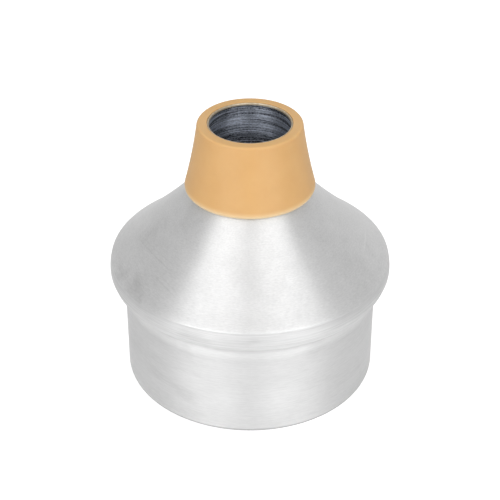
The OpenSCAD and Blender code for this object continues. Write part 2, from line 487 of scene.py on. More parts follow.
def spun_aluminium(name, dark, pale, rough, marks, smudge, bump_mm, blur=0.8,
                   bands=(), spots=(), scratches=(), foot_shade=None):
    """Spun sheet, from a dark colour at low tone to a pale one at high tone.

    rough: the roughness at high and at low tone. smudge: (size in mm, weight, turns).
    The last argument paints shade on a standing edge: (height in mm where it starts,
    height where it is full, colour).
    """
    material, tree = new_material(name)
    place, rings, height = lathe_places(tree)
    size, weight, turns = smudge
    fine = rubbed(tree, rings, marks)
    smudges = smudged(tree, place, rings, size, turns)
    tone = add(tree, "Math", {0: smudges, 1: weight, 2: fine}, operation="MULTIPLY_ADD")
    tone = with_bands(tree, tone, height, bands)
    tone = with_spots(tree, tone, place, smudges, spots)
    tone = with_scratches(tree, tone, place, scratches)
    low, high = 0.5 * weight - 0.5, 0.5 * weight + 0.5   # half a unit on each side of its middle
    share = add(tree, "MapRange", {"Value": tone, "From Min": low, "From Max": high})
    colour = add(tree, "Mix", {
        "Factor": share, "A": linear(dark), "B": linear(pale),
    }, data_type="RGBA")
    # Painted shade: the colour darkens towards a standing edge.
    if foot_shade:
        start, full, shade_colour = foot_shade
        painted_foot = add(tree, "MapRange", {
            "Value": height, "From Min": start * MM, "From Max": full * MM,
        })
        colour = add(tree, "Mix", {
            "Factor": painted_foot, "A": colour, "B": linear(shade_colour),
        }, data_type="RGBA")
    roughness = add(tree, "MapRange", {
        "Value": tone, "From Min": low, "From Max": high, "To Min": rough[1], "To Max": rough[0],
    })
    bump = add(tree, "Bump", {"Height": fine, "Strength": 1.0, "Distance": bump_mm * MM})
    shader = add(tree, "BsdfPrincipled", {
        "Base Color": colour, "Metallic": 1.0, "Roughness": roughness, "Anisotropic": blur,
        "Anisotropic Rotation": ACROSS_RINGS, "Normal": bump,
        "Tangent": add(tree, "Tangent", direction_type="RADIAL", axis="Z"),
    })
    add(tree, "OutputMaterial", {"Surface": shader})
    return material


print("the palest sheet gives back", round(linear("#e6e6e6")[0], 2), "of the light")

# %% [markdown]
# ## The finish of the cone
#
# The cone was rubbed last and most evenly. Its marks are mostly short specks
# of grit, about 1 mm long, with some longer streaks, drawn 0.35 to 0.8 mm
# wide. A mute is held by its cone: the skin's oil has left four dull spots at
# the left. Laying it down has left long scratches that run nearly level, four
# dark ones at the left and a bright one at the right. Just above the crease
# the sheet is a little smoother, and a little paler as a painted highlight
# along the crease.

# %% Satin cone
CONE_MARKS = [(36.0, 0.45, 0.95), (8.0, 0.35, 0.30), (1.0, 0.8, 0.10)]
# Painted highlight: the cone is paler, and smoother, just above the crease.
CONE_CREASE_HIGHLIGHT = [(widest_z + 2.9, widest_z + 1.9, 0.1)]
CONE_SPOTS = [
    ((-36.6, -26.2, 47.7), 8.0, -0.5), ((-43.7, -15.1, 46.5), 4.5, -0.4),
    ((-32.2, -8.1, 57.7), 9.0, -0.35), ((-18.4, -14.4, 68.7), 6.0, -0.2),
]
CONE_SCRATCHES = [
    ((-37.7, -4.6, 53.7), (-26.4, -25.5, 54.9), -0.28),
    ((-36.2, -5.7, 54.9), (-24.4, -25.3, 56.3), -0.2),
    ((-31.6, -24.7, 51.9), (-24.2, -34.6, 50.0), -0.28),
    ((-29.8, -25.0, 52.9), (-23.1, -34.3, 50.7), -0.2),
    ((39.8, 3.5, 51.9), (38.1, -11.6, 52.1), 0.3),
]
# Gives the eye an even pale grey with a soft shine, calm at the flanks
cone_satin = spun_aluminium(
    "satin_spun_aluminium_cone", "#cacaca", "#e0e0e0", rough=(0.44, 0.58), marks=CONE_MARKS,
    smudge=(8.0, 0.5, 0), bump_mm=0.018, bands=CONE_CREASE_HIGHLIGHT, spots=CONE_SPOTS,
    scratches=CONE_SCRATCHES)
print("streaks on the cone:", streaks(40.0, CONE_MARKS))

# %% [markdown]
# ## The finish of the band
#
# The band is what the roller closes over the cup at the end. It runs over the
# band again and again, so the streaks there are long and bold, drawn 0.40 to
# 0.55 mm wide. The band also stays a little rougher than the cone, and has
# taken two small dull spots in front. Between the widest line and the roll
# its face is painted a little paler, as painted light.

# %% Satin band
BAND_MARKS = [(1.2, 0.55, 1.15), (10.0, 0.40, 0.45)]
# Painted light: the band's face is a little paler between the widest line and the roll.
BAND_PAINTED_LIGHT = [(45.2, 44.4, 0.04), (42.0, 41.4, -0.04)]
BAND_SPOTS = [((-20.0, -44.8, 43.5), 6.0, -0.28), ((0.0, -49.0, 43.5), 3.0, -0.2)]
# Gives the eye fine light and dark lines that run round the widest part
band_satin = spun_aluminium(
    "satin_spun_aluminium_band", "#c8c8c8", "#e6e6e6", rough=(0.52, 0.66), marks=BAND_MARKS,
    smudge=(5.0, 0.5, 2.0), bump_mm=0.016, bands=BAND_PAINTED_LIGHT, spots=BAND_SPOTS)
print("streaks on the band:", streaks(body_r, BAND_MARKS))

# %% [markdown]
# ## The bare finishes
#
# Nobody rubs the inside. In the neck the roller's own rings stay, pale on top
# and nearly black in between, and further down the neck is painted darker, as
# painted shade deep in the bore. Inside the body the metal is dull, and
# painted dark as painted shade behind the neck and in the cup. The rim was
# cut on the lathe, and its tan is a painted reflection of the foam collar.

# %% Bare neck, body and rim
INSIDE_MARKS = [(0.8, 0.35, 2.3), (24.0, 0.35, 1.3)]
# The first band is painted shade, darker from 89.5 mm down to 83 mm deep in the bore; the others
# are the roller's rings.
NECK_RINGS_AND_SHADE = [
    (89.5, 83.0, -0.3), (94.3, 94.6, -0.18), (96.6, 96.3, 0.1), (94.8, 94.5, -0.4),
    (94.0, 93.7, 0.34),
]
RIM_MARKS = [(12.0, 1.0, 1.2)]
# Gives the eye cold bluish rings that fade into the dark of the bore
inside_bare = spun_aluminium(
    "bare_spun_aluminium_inside", "#202329", "#d6deee", rough=(0.56, 0.38), marks=INSIDE_MARKS,
    smudge=(3.0, 0.2, 0), bump_mm=0.003, blur=1.0, bands=NECK_RINGS_AND_SHADE)
# Gives the eye a dim grey behind the neck and in the cup, as painted shade
body_inside_painted_shade = spun_aluminium(
    "painted_shade_aluminium_body_inside", "#24272c", "#6a7078", rough=(0.60, 0.45), marks=INSIDE_MARKS,
    smudge=(3.0, 0.2, 0), bump_mm=0.003)
# Gives the eye one thin pale line round the mouth, tan as a painted reflection of the foam
rim_foam_reflection = spun_aluminium(
    "cut_aluminium_rim_foam_reflection", "#a0937c", "#ddd0b9", rough=(0.45, 0.65), marks=RIM_MARKS,
    smudge=(3.0, 0.6, 0), bump_mm=0.004, blur=0.3)
print("streaks in the neck:", streaks(NECK_BORE_D / 2, INSIDE_MARKS))

# %% [markdown]
# ## The inside of the neck
#
# The spinner's roller leaves faint waves where it turned round. Outside they
# are rubbed away, but inside the neck they stay, and the eye finds them in the
# mouth. A bump map would do for most of them. They are part of the outline
# here, a few hundredths of a millimetre high, so they also catch the light at
# a low angle. Each is a smooth hill or dip at a depth below the rim.

# %% The neck's tool rings
NECK_GAP = 0.16
TOOL_RINGS = [
    (1.1, 0.30, 0.06), (1.9, 0.35, -0.06), (2.6, 0.3, 0.07), (3.4, 0.3, 0.10), (4.4, 0.4, -0.05),
    (5.4, 0.4, 0.06), (6.6, 0.5, -0.05), (7.8, 0.5, 0.05), (9.4, 0.6, -0.04), (11.0, 0.5, 0.04),
    (12.6, 0.3, -0.08), (14.8, 0.3, -0.06), (17.0, 0.8, 0.04),
]
CALM_SHARE = 1 / 6   # the lowest part of the neck, over which the waves die out


def tool_wave(below_rim):
    """How far the tool has pressed the inside of the neck outward, in mm."""
    return sum(high * math.exp(-((below_rim - at) / wide) ** 2) for at, wide, high in TOOL_RINGS)


def neck_inside(top, low):
    """The inner face of the neck, from the rim down to the fillet."""
    count = math.ceil(math.dist(top, low) / NECK_GAP)
    points = []
    for i in range(1, count):
        t = i / count
        fade = min(1, (1 - t) / CALM_SHARE)
        down = (top[1] - low[1]) * t
        points.append((top[0] + (low[0] - top[0]) * t + fade * tool_wave(down), top[1] - down))
    return points


print(len(TOOL_RINGS), "tool rings, the highest", max(high for _, _, high in TOOL_RINGS), "mm")

# %% [markdown]
# ## The rim of the neck
#
# The neck was cut to length and its edge broken with a scraper, more on the
# inside than on the outside. The top of the wall is drawn with both rounds, so
# that the rim shows as a thin line of light and not as a knife's edge.

# %% A scraped rim
RIM_EDGE = 0.05
RIM_ROUND, RIM_ROUND_H = 0.3, 0.65


def rounded_rim(outer, inner):
    """The top of the neck's wall, from its outer edge to its inner edge."""
    corner = (outer[0] - RIM_EDGE, outer[1] - RIM_EDGE)
    points = [along(corner, polar(angle), RIM_EDGE) for angle in (0, 30, 60, 90)]
    for angle in range(90, 181, 15):
        r, z = polar(angle)
        points.append((inner[0] + RIM_ROUND * (1 + r), inner[1] - RIM_ROUND_H * (1 - z)))
    return points


print("the rim's round is", RIM_ROUND, "mm wide and", RIM_ROUND_H, "mm high")

# %% [markdown]
# ## The fold of the shoulder
#
# At its widest line the sheet is folded, not rounded: a crisp edge with a
# faint swell of the band below it. The CAD solid has one plain round there,
# which this outline leaves by less than 0.2 mm.
#
# Two helpers come first. One lifts a point off the sheet. The other draws the
# points of a smooth curve between two places, which starts and ends in given
# directions: the cubic that Blender also uses between two curve handles.

# %% Lift a point, bend a line
def raised(point, height):
    """A point of a path, moved off the outer face by a height."""
    return point[0] - point[2] * height, point[1] - point[3] * height


def bend(start, start_way, end, end_way, steps):
    """The points inside a smooth curve that leaves and arrives in given directions."""
    length = math.dist(start, end)
    points = []
    for i in range(1, steps):
        t = i / steps
        a, b = 1 - t * t * (3 - 2 * t), t * t * (3 - 2 * t)
        c, d = t * (1 - t) ** 2 * length, t * t * (t - 1) * length
        points.append(tuple(
            a * start[k] + b * end[k] + c * start_way[k] + d * end_way[k] for k in (0, 1)
        ))
    return points


print("halfway round a bend:", [round(v, 3) for v in bend((0, 0), (1, 0), (1, 1), (0, 1), 2)[0]])

# %% [markdown]
# ## Drawing the fold
#
# The swell starts on the roll, where that faces 16 degrees down, and reaches
# the widest line upright. From there a flat arc leads to the fold, which is a
# small arc of its own. Above its crest the cone is lifted by a sixth of a
# millimetre, and comes down to its own line over the next 8 mm.

# %% The swell and the fold
FOLD_R = 1.2
FOLD_FACE = 16
FOLD_STEP = 6
FOLD_BACK = 0.6
FOLD_LIFT, LIFT_RUN = 0.16, 8.0
SWELL_START = -16.0
SWELL_STEPS = 8
SWELL_STEP = 4


def folded_shoulder():
    """The outer face from the foot of the roll up to the crest of the fold."""
    crest = along(raised(cone_foot, FOLD_LIFT), polar(180 - CONE_FOOT_SLOPE), FOLD_BACK)
    fold_centre = along(crest, polar(90 - CONE_FOOT_SLOPE), -FOLD_R)
    fold_angles = range(FOLD_FACE, 90 - math.ceil(CONE_FOOT_SLOPE), FOLD_STEP)
    fold = [along(fold_centre, polar(angle), FOLD_R) for angle in fold_angles]
    swell_r = (body_r - fold[0][0]) / (1 - polar(FOLD_FACE)[0])
    widest = (body_r, fold[0][1] - swell_r * polar(FOLD_FACE)[1])
    swell_centre = (body_r - swell_r, widest[1])
    swell_angles = range(0, FOLD_FACE - SWELL_STEP // 2, SWELL_STEP)
    swell = [along(swell_centre, polar(angle), swell_r) for angle in swell_angles]
    low_roll = [p[:2] for p in roll_arc if -p[3] <= polar(SWELL_START)[1]]
    way = polar(SWELL_START + 90)
    return low_roll + bend(low_roll[-1], way, widest, (0, 1), SWELL_STEPS) + swell + fold


lifted_cone = [
    raised(p, FOLD_LIFT * max(0, 1 - math.dist(p[:2], cone_foot[:2]) / LIFT_RUN) ** 2)
    for p in cone_arc if math.dist(p[:2], cone_foot[:2]) > FOLD_BACK
]
print("the shoulder takes", len(folded_shoulder()), "points, the cone", len(lifted_cone))

# %% [markdown]
# ## The upper shell
#
# One disc makes the band, the shoulder, the cone and the neck, so it is one
# piece here too. Its outline runs up the outer face, over the rim, down the
# inside of the neck and back along the inner face. Where a ring of faces lies
# on that outline says which finish it gets.

# %% Turn the upper shell
CREASE_UP = 1.1   # the band's finish ends this far above the widest line, at the fold's edge
TOUCH = 0.01
CONE, BAND, NECK, RIM, INSIDE = range(5)
SHELL_FINISHES = [cone_satin, band_satin, inside_bare, rim_foam_reflection, body_inside_painted_shade]


def top_index(outline):
    """Where on an outline its highest point is."""
    return max(range(len(outline)), key=lambda i: outline[i][1])


shell_path = roll_arc + shoulder_arc + cone_arc + fillet_arc
rim_in_r = rim_r - RIM_T
neck_low = layer(fillet_arc, SHEET_T)[-1]
shell_outline = with_points(
    folded_shoulder() + lifted_cone + layer(fillet_arc, 0)
    + rounded_rim((rim_r, rim_z), (rim_in_r, rim_z))
    + neck_inside((rim_in_r, rim_z - RIM_ROUND_H), neck_low) + layer(shell_path, SHEET_T)[::-1],
    POINT_GAP,
)
shell_top = top_index(shell_outline)


def shell_zone(i):
    """The finish of the ring of faces after a point of the outline."""
    z = shell_outline[i][1]
    if z >= rim_z - RIM_ROUND_H - TOUCH:
        return RIM
    if i > shell_top:
        return NECK if z > neck_low[1] else INSIDE
    return BAND if z < widest_z + CREASE_UP else CONE


turn(
    "mute_upper_shell", "upper_shell", shell_outline, SHELL_FINISHES, shell_zone,
)

# %% [markdown]
# ## Working out the base cup
#
# A second disc makes the end face, the ring that the mute stands on, the wall
# and the rim that is folded into the seam. The end face is set in a little, so
# that the socket's flange clears whatever the mute stands on. The step between
# the ring and the end face is two bends with a short straight run in between.

# %% Sizes and places of the base cup
FOLDED_RIM_DROP = 1.0
CUP_EDGE_R = 2.0
STANDING_RING_W = 5.0
END_RECESS = 2.5
STEP_BEND_R = 0.8
STEP_SLOPE = 60.0
STEM_BORE_D = 19.0
CORK_T = 1.5
SOCKET_WALL = 0.8
SOCKET_GAP = 0.05
ring_out_r = cup_r - CUP_EDGE_R
ring_in_r = ring_out_r - STANDING_RING_W
step_out_r = STEP_BEND_R + SHEET_T
step_cos, step_sin = polar(STEP_SLOPE)
step_run = (END_RECESS - (STEP_BEND_R + step_out_r) * (1 - step_cos)) / step_sin
step_w = (STEP_BEND_R + step_out_r) * step_sin + step_run * step_cos
stem_r = STEM_BORE_D / 2
seat_r = stem_r + CORK_T
sleeve_r = seat_r + SOCKET_WALL
end_hole_r = sleeve_r + SOCKET_GAP
print("the step is", round(step_w, 2), "mm wide, the hole in the end face", 2 * end_hole_r, "mm")

# %% [markdown]
# ## The finish of the cup
#
# The cup was rubbed as it turned, like the cone, but more lightly, so its
# streaks are longer. They are drawn 0.45 to 1.2 mm wide. Below the seam a
# paler band is a painted highlight, and above it the metal is painted darker
# into the seam, as painted shade under the band's roll. Hands have left dull
# spots, and two pale spots in front are painted highlight. At the very
# bottom the round edge is painted darker over the last 2 mm, as painted
# shade where the mute meets the floor.

# %% Satin cup
CUP_MARKS = [(5.0, 0.45, 0.38), (18.0, 0.45, 0.45), (0.8, 1.2, 0.10)]
# Painted light and shade: a paler band below the seam, darker into the seam and at the foot.
CUP_PAINTED_LIGHT_AND_SHADE = [(31.0, 33.5, 0.45), (34.6, 36.0, -0.5), (36.6, 37.2, -1.0), (1.5, 0.4, -1.5)]
CUP_SMUDGES_AND_HIGHLIGHTS = [
    ((-30.0, -34.0, 20.0), 8.0, -0.15), ((-21.8, -39.4, 10.0), 7.0, -0.35),
    ((-21.8, -39.4, 34.0), 3.5, -0.35), ((22.5, -39.0, 34.0), 3.5, -0.25),
    # The two pale spots in front are painted highlight; the others are dull spots of handling.
    ((9.0, -44.1, 14.0), 9.0, 0.3), ((-7.8, -44.3, 14.0), 6.0, 0.2),
]
# Gives the eye a soft grey with faint level streaks, a little duller than the cone;
# its foot is painted darker, as painted shade
cup_satin = spun_aluminium(
    "satin_spun_aluminium_cup", "#cbcbcb", "#e6e6e6", rough=(0.50, 0.64), marks=CUP_MARKS,
    smudge=(8.0, 0.4, 1.6), bump_mm=0.014, bands=CUP_PAINTED_LIGHT_AND_SHADE, spots=CUP_SMUDGES_AND_HIGHLIGHTS,
    foot_shade=(1.8, 1.2, "#b3b3b3"))
print("streaks on the cup:", streaks(cup_r, CUP_MARKS))

# %% [markdown]
# ## The base cup
#
# The path of the cup runs from the hole in the end face out to the standing
# ring, up the wall and into the seam. There the cup's rim lies against the
# inner face of the shell's roll, with the film of sealant in between, so that
# stretch is the shell's own path, moved in by a sheet and a film.

# %% Turn the base cup
folded_rim_z = widest_z - FOLDED_RIM_DROP
band_run = (folded_rim_z - roll_top[1]) / taper_cos
band_top = along(roll_top, (taper_sin, taper_cos), band_run) + roll_top[2:]
rim_depth = SHEET_T + SEAL_T
folded_rim = [
    (r + rim_depth * nr, z + rim_depth * nz, nr, nz) for r, z, nr, nz in roll_arc + [band_top]
]
wall_bend_z = roll_z - math.sqrt((SEAM_BEND_R + fold_r) ** 2 - SEAM_BEND_R ** 2)
cup_path = (
    [(end_hole_r, END_RECESS, 0, 1)]
    + arc((ring_in_r - step_w, END_RECESS - STEP_BEND_R), STEP_BEND_R, 90, 90 - STEP_SLOPE)
    + arc((ring_in_r, step_out_r), step_out_r, 270 - STEP_SLOPE, 270)
    + arc((ring_out_r, CUP_EDGE_R), CUP_EDGE_R, -90, 0)
    + arc((cup_r + SEAM_BEND_R, wall_bend_z), SEAM_BEND_R, 180, 180 + roll_end)
    + folded_rim[1:]
)
cup_outline = with_points(layer(cup_path, 0) + layer(cup_path, SHEET_T)[::-1], POINT_GAP)
cup_top = top_index(cup_outline)
turn(
    "mute_base_cup", "base_cup", cup_outline,
    [cup_satin, body_inside_painted_shade], lambda i: int(i > cup_top),
)

# %% [markdown]
# ## Working out the collar
#
# The collar is a cone with soft edges. It rests on the cone of the body, one
# film of adhesive above it, so its lowest height follows from where the body's
# long arc passes under the inner edge of its foot.

# %% Sizes and places of the collar
COLLAR_TOP_D = 36.4
COLLAR_FOOT_D = 45.4
COLLAR_HOLLOW = 0.35
COLLAR_TOP_EDGE_R = 1.1
COLLAR_FOOT_EDGE_R = 1.2
COLLAR_FOOT_W = 0.3
COLLAR_PROUD = 0.15
GLUE_T = 0.2
collar_top_z = rim_z + COLLAR_PROUD
foot_round_r = COLLAR_FOOT_D / 2 - COLLAR_FOOT_EDGE_R
foot_reach = cone_centre[0] - (foot_round_r - COLLAR_FOOT_W)
collar_z = cone_centre[1] - math.sqrt((cone_r - GLUE_T) ** 2 - foot_reach ** 2)
print("the collar stands from", round(collar_z, 2), "to", round(collar_top_z, 2), "mm")

# %% [markdown]
# ## Moulded foam
#
# The collar is a closed-cell foam, cast round the axis and dressed on a lathe:
# dense, matt and faintly waxy, without cork's grains. Such plastics have an
# IOR near 1.45 and a roughness near 0.5. Light goes a little way into it, which
# softens its edges. The dressing tool leaves rings too fine to see, but they
# draw the sheen into a faint upright band, as on the metal.
#
# The collar's foot is painted pale, as painted light that the bright cone
# throws back onto it. The top face and the top of its round edge are painted
# paler, as painted light from above. The cells are about 0.3 mm and show only
# as a very soft grain, and the colour drifts slowly over about 9 mm, as the
# mix wasn't stirred evenly.

# %% The foam of the collar
FOAM_CELL, FOAM_CELL_H = 0.3, 0.01
FOAM_CLOUD = 9.0
CLOUD_RANGE = {"From Min": 0.3, "From Max": 0.7}   # the noise seldom leaves this range
BOUNCE_FROM, BOUNCE_TO = 0.4, 2.8
BOUNCE_FALL = 1.7
TOP_LIGHT_H = 0.6
LIGHT_DEPTH = 0.8


def moulded_foam(name, deep, pale, painted_foot, top_light):
    """Foam that drifts from deep to pale, with painted light on its foot and on its top face."""
    material, tree = new_material(name)
    place = add(tree, "TexCoord").outputs["Object"]
    height = add(tree, "SeparateXYZ", {"Vector": place}).outputs["Z"]
    clouds = add(tree, "TexNoise", {
        "Vector": place, "Scale": 1 / (FOAM_CLOUD * MM), "Detail": 3.0, "Roughness": 0.55,
    })
    cells = add(tree, "TexNoise", {
        "Vector": place, "Scale": 1 / (FOAM_CELL * MM), "Detail": 2.0, "Roughness": 0.6,
    })
    share = add(tree, "MapRange", {"Value": clouds, **CLOUD_RANGE})
    colour = add(tree, "Mix", {
        "Factor": share, "A": linear(deep), "B": linear(pale),
    }, data_type="RGBA")
    # Painted light: the foot is paler, where the bright cone throws light back onto it.
    near_foot = add(tree, "MapRange", {
        "Value": height, "To Min": 1.0, "To Max": 0.0,
        "From Min": (collar_z + BOUNCE_FROM) * MM, "From Max": (collar_z + BOUNCE_TO) * MM,
    })
    foot_bounce = add(tree, "Math", {0: near_foot, 1: BOUNCE_FALL}, operation="POWER")
    colour = add(tree, "Mix", {"Factor": foot_bounce, "A": colour, "B": linear(painted_foot)}, data_type="RGBA")
    # Painted light: the top face is paler.
    on_top = add(tree, "MapRange", {
        "Value": height,
        "From Min": (collar_top_z - TOP_LIGHT_H) * MM, "From Max": (collar_top_z - TOP_LIGHT_H / 4) * MM,
    })
    colour = add(tree, "Mix", {"Factor": on_top, "A": colour, "B": linear(top_light)}, data_type="RGBA")
    shader = add(tree, "BsdfPrincipled", {
        "Base Color": colour, "IOR": 1.45,
        "Roughness": add(tree, "MapRange", {
            "Value": clouds, **CLOUD_RANGE, "To Min": 0.46, "To Max": 0.54,
        }),
        "Subsurface Weight": 0.15, "Subsurface Radius": (1.0, 0.6, 0.3),
        "Subsurface Scale": LIGHT_DEPTH * MM,
        "Anisotropic": 0.9, "Anisotropic Rotation": ACROSS_RINGS,
        "Normal": add(tree, "Bump", {
            "Height": cells, "Strength": 1.0, "Distance": FOAM_CELL_H * MM,
        }),
        "Tangent": add(tree, "Tangent", direction_type="RADIAL", axis="Z"),
    })
    add(tree, "OutputMaterial", {"Surface": shader})
    return material


# Gives the eye a warm matt tan; its paler foot and top are painted light
collar_foam = moulded_foam("moulded_closed_cell_foam", "#b28a56", "#b7905d", "#cbb998", "#be9762")

# %% [markdown]
# ## The foam collar
#
# The collar's side is a hair hollow. It has to run smoothly out of the rounds
# at its top and its foot, so its lean is that of a line that touches both. The
# bore follows the neck and the cone, one film of adhesive off them, and its
# mouth is just broken, so that it doesn't look cut from card.

# %% Turn the collar
FINE_GAP = 0.5
SIDE_STEPS = 24
MOUTH_EDGE = 0.1
foot_round = (foot_round_r, collar_z + COLLAR_FOOT_EDGE_R)
top_round = (COLLAR_TOP_D / 2 - COLLAR_TOP_EDGE_R, collar_top_z - COLLAR_TOP_EDGE_R)
side_span = (top_round[0] - foot_round[0], top_round[1] - foot_round[1])
side_len = math.hypot(*side_span)
collar_lean = math.degrees(
    math.atan(-side_span[0] / side_span[1])
    - math.asin((COLLAR_TOP_EDGE_R - COLLAR_FOOT_EDGE_R) / side_len)
)
side_bend = math.degrees(math.atan(4 * COLLAR_HOLLOW / side_len))
foot_arc = layer(arc(foot_round, COLLAR_FOOT_EDGE_R, -90, collar_lean + side_bend), 0)
top_arc = layer(arc(top_round, COLLAR_TOP_EDGE_R, collar_lean - side_bend, 90), 0)
lean_cos, lean_sin = polar(collar_lean)
collar_side = []
for i in range(1, SIDE_STEPS):
    t = i / SIDE_STEPS
    hollow = COLLAR_HOLLOW * 4 * t * (1 - t)
    collar_side.append((
        foot_arc[-1][0] + (top_arc[0][0] - foot_arc[-1][0]) * t - lean_cos * hollow,
        foot_arc[-1][1] + (top_arc[0][1] - foot_arc[-1][1]) * t - lean_sin * hollow,
    ))

mouth_r = rim_r + GLUE_T / polar(NECK_DRAFT)[0] - COLLAR_PROUD * neck_tan + MOUTH_EDGE
mouth_centre = (mouth_r, collar_top_z - MOUTH_EDGE)
glued = [p for p in layer(cone_arc + fillet_arc, -GLUE_T) if p[1] > collar_z]
collar_outline = with_points(
    [(foot_round_r - COLLAR_FOOT_W, collar_z)] + foot_arc + collar_side + top_arc
    + [(mouth_r, collar_top_z)]
    + [along(mouth_centre, polar(angle), MOUTH_EDGE) for angle in (120, 150, 180)]
    + glued[::-1],
    FINE_GAP,
)
collar = turn("mute_foam_collar", "bell_collar", collar_outline, [collar_foam])

# %% [markdown]
# ## Turned bar
#
# The socket is turned from aluminium bar, so it shows the even feed marks of a
# lathe tool. They are about 0.25 mm apart and 0.02 mm deep, and are drawn at
# that size. Turned bar is smoother than rubbed sheet, with a roughness near
# 0.3. The skin that aluminium grows in the air has dimmed it, so it gives back
# a half to two thirds of the light.

# %% Turned aluminium
FEED_TURNS = 0.3
FEED_W, FEED_H = 0.25, 0.02
FEED_RANGE = {"From Min": 0.35, "From Max": 0.65}


def turned_aluminium(name, dark, pale):
    """Bar with feed marks round it."""
    material, tree = new_material(name)
    rings = lathe_places(tree)[1]
    feed = ring_noise(tree, rings, FEED_TURNS, FEED_W, detail=1.0, roughness=0.4)
    share = add(tree, "MapRange", {"Value": feed, **FEED_RANGE})
    shader = add(tree, "BsdfPrincipled", {
        "Base Color": add(tree, "Mix", {
            "Factor": share, "A": linear(dark), "B": linear(pale),
        }, data_type="RGBA"),
        "Roughness": add(tree, "MapRange", {
            "Value": feed, **FEED_RANGE, "To Min": 0.34, "To Max": 0.26,
        }),
        "Metallic": 1.0, "Anisotropic": 0.7, "Anisotropic Rotation": ACROSS_RINGS,
        "Normal": add(tree, "Bump", {"Height": feed, "Strength": 1.0, "Distance": FEED_H * MM}),
        "Tangent": add(tree, "Tangent", direction_type="RADIAL", axis="Z"),
    })
    add(tree, "OutputMaterial", {"Surface": shader})
    return material


# Gives the eye a crisper, slightly darker and colder metal than the sheet
bar_aluminium = turned_aluminium("turned_bar_aluminium", "#b7babf", "#d2d4d7")

# %% [markdown]
# ## Pressed cork
#
# The lining is cork pressed from grains of 1 to 2 mm. Each grain took the heat
# of the press in its own way, so each has its own brown. A Voronoi texture
# gives such cells, with a little dip where two of them meet. Cork is matt,
# with a roughness of 0.75 to 0.9.

# %% Cork of the socket
CORK_GRAIN, CORK_DIP = 1.4, 0.1


def pressed_cork(name, dark, pale):
    """Cork of pressed grains."""
    material, tree = new_material(name)
    place = add(tree, "TexCoord").outputs["Object"]
    grains = add(tree, "TexVoronoi", {"Vector": place, "Scale": 1 / (CORK_GRAIN * MM)})
    tone = add(tree, "SeparateColor", {"Color": grains.outputs["Color"]}).outputs["Red"]
    shader = add(tree, "BsdfPrincipled", {
        "Base Color": add(tree, "Mix", {
            "Factor": tone, "A": linear(dark), "B": linear(pale),
        }, data_type="RGBA"),
        "Roughness": add(tree, "MapRange", {"Value": tone, "To Min": 0.75, "To Max": 0.9}),
        "Normal": add(tree, "Bump", {
            "Height": grains.outputs["Distance"], "Strength": 0.6, "Distance": CORK_DIP * MM,
        }),
    })
    add(tree, "OutputMaterial", {"Surface": shader})
    return material


# Gives the eye a speckled brown in the hole
socket_cork = pressed_cork("pressed_cork", "#8f6536", "#c89e6b")

# %% [markdown]
# ## The stem socket
#
# The sleeve with its flange is turned from bar, pushed through the end face
# from below and locked by a ring inside. Cork in the sleeve grips the stem.
# All three have short outlines, so their corners are written out one by one.

# %% Turn the socket, its ring and its cork
SOCKET_H = 14.0
FLANGE_T = 1.0
FLANGE_W = 4.5
FLANGE_EDGE = 0.3
LIP_ROOM = 0.5
LIP_H = 0.8
LOCK_RING_T = 1.2
LOCK_RING_W = 3.5
RING_BEVEL = 0.2
flange_r = sleeve_r + FLANGE_W
flange_z = END_RECESS - FLANGE_T
socket_top_z = END_RECESS + SOCKET_H
cork_z = flange_z + LIP_H
lip_r = stem_r + LIP_ROOM
turn("mute_stem_socket", "stem_socket", with_points([
    (lip_r, flange_z), (flange_r - FLANGE_EDGE, flange_z), (flange_r, flange_z + FLANGE_EDGE),
    (flange_r, END_RECESS), (sleeve_r, END_RECESS), (sleeve_r, socket_top_z),
    (seat_r, socket_top_z), (seat_r, cork_z), (lip_r, cork_z),
], POINT_GAP), [bar_aluminium])

ring_z = END_RECESS + SHEET_T
ring_top_z = ring_z + LOCK_RING_T
ring_r = sleeve_r + LOCK_RING_W
turn("mute_socket_lock_ring", "socket_lock_ring", with_points([
    (end_hole_r, ring_z), (ring_r, ring_z), (ring_r, ring_top_z - RING_BEVEL),
    (ring_r - RING_BEVEL, ring_top_z), (end_hole_r, ring_top_z),
], POINT_GAP), [bar_aluminium])

turn("mute_socket_cork", "socket_cork", with_points([
    (stem_r, cork_z), (seat_r, cork_z), (seat_r, socket_top_z), (stem_r, socket_top_z),
], FINE_GAP), [socket_cork])

# %% [markdown]
# ## The two films
#
# The sealant in the seam and the adhesive under the collar keep the shapes of
# their CAD solids, because nothing of them stands free. Both are brushed on
# and cured, with soft lumps of 2 to 3 mm and a half gloss, as such rubbery
# films have. Each only shows as a thin line: the sealant grey-brown under the
# band, the adhesive dull amber round the mouth.

# %% Give the films their materials
LUMP_H = 0.05


def cured_film(name, dark, pale, lump_mm):
    """A brushed film, cured with soft lumps."""
    material, tree = new_material(name)
    place = add(tree, "TexCoord").outputs["Object"]
    lumps = add(tree, "TexNoise", {"Vector": place, "Scale": 1 / (lump_mm * MM), "Detail": 3.0})
    shader = add(tree, "BsdfPrincipled", {
        "Base Color": add(tree, "Mix", {
            "Factor": lumps, "A": linear(dark), "B": linear(pale),
        }, data_type="RGBA"),
        "Roughness": add(tree, "MapRange", {
            "Value": lumps, "From Min": 0.3, "From Max": 0.7, "To Min": 0.35, "To Max": 0.5,
        }),
        "Normal": add(tree, "Bump", {"Height": lumps, "Strength": 0.5, "Distance": LUMP_H * MM}),
    })
    add(tree, "OutputMaterial", {"Surface": shader})
    return material


seam_sealant = cured_film("cured_seam_sealant", "#5d5a54", "#827d74", 2.0)
contact_adhesive = cured_film("cured_contact_adhesive", "#7d6846", "#a38c64", 3.0)
for node, material in (("seam_seal", seam_sealant), ("collar_glue", contact_adhesive)):
    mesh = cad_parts[node].data
    mesh.materials.clear()
    mesh.materials.append(material)
    print(node, "takes", material.name)

